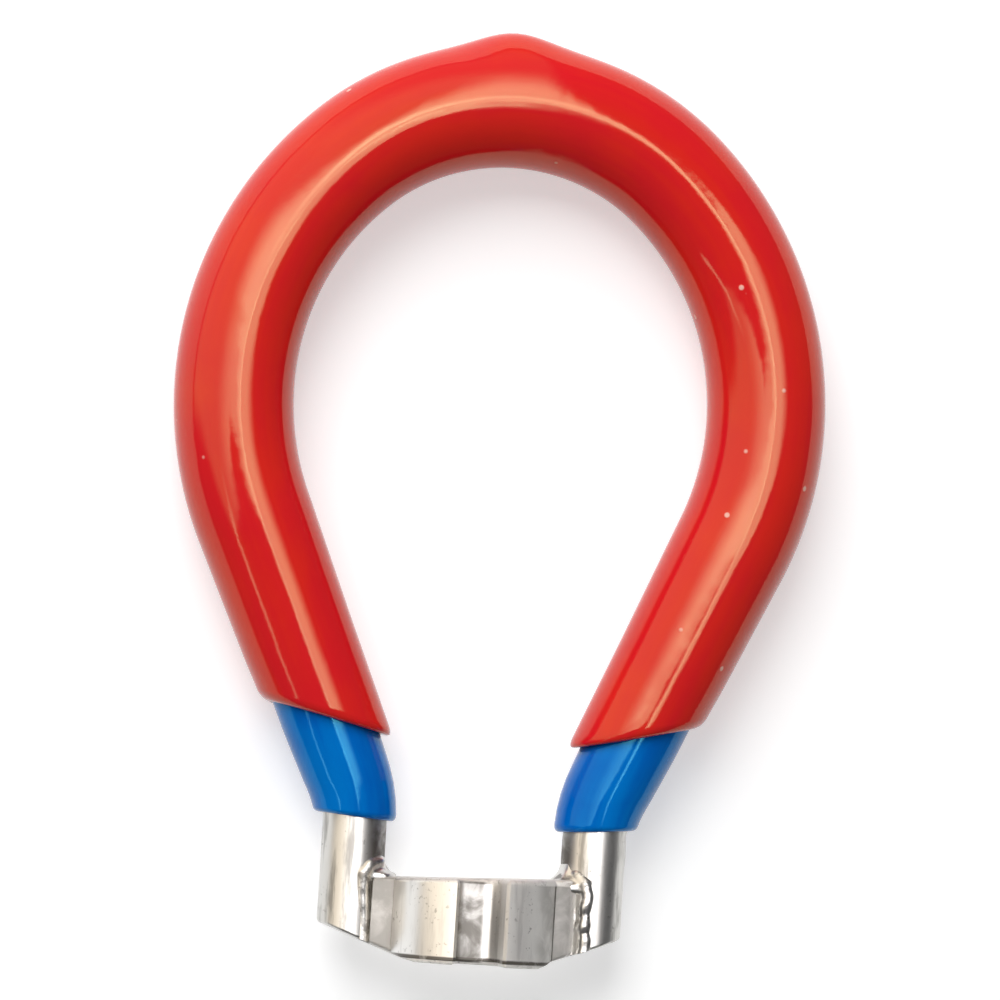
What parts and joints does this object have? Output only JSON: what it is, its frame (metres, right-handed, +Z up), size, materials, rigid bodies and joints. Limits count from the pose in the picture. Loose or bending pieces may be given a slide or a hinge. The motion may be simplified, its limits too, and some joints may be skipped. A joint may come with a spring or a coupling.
{
  "type": "spoke wrench",
  "caption": "Pocket wrench for turning spoke nipples: a bent rod loop with a two-layer dipped grip, its ends welded to a slotted jaw head.",
  "frame": {"origin": "under the middle of the bounding box, on the surface the wrench lies on", "axes": "+Y from the jaw head to the top of the loop, +Z up through the loop's plane, towards the side the nipple slot opens on, +X across the head"},
  "size_m": [0.0492, 0.0698, 0.0122],
  "materials": {
    "plated_rod": "bright nickel plating over steel rod",
    "plated_head": "bright nickel plating over machined steel, brushed flats",
    "plated_weld": "plated weld bead, uneven",
    "blue_vinyl": "gloss dipped vinyl",
    "red_vinyl": "gloss dipped vinyl, soft"
  },
  "bodies": {
    "root": {"handle_rod": "plated_rod", "jaw_head": "plated_head", "weld_left": "plated_weld", "weld_right": "plated_weld", "blue_undercoat": "blue_vinyl", "red_overcoat": "red_vinyl"}
  },
  "joints": []
}
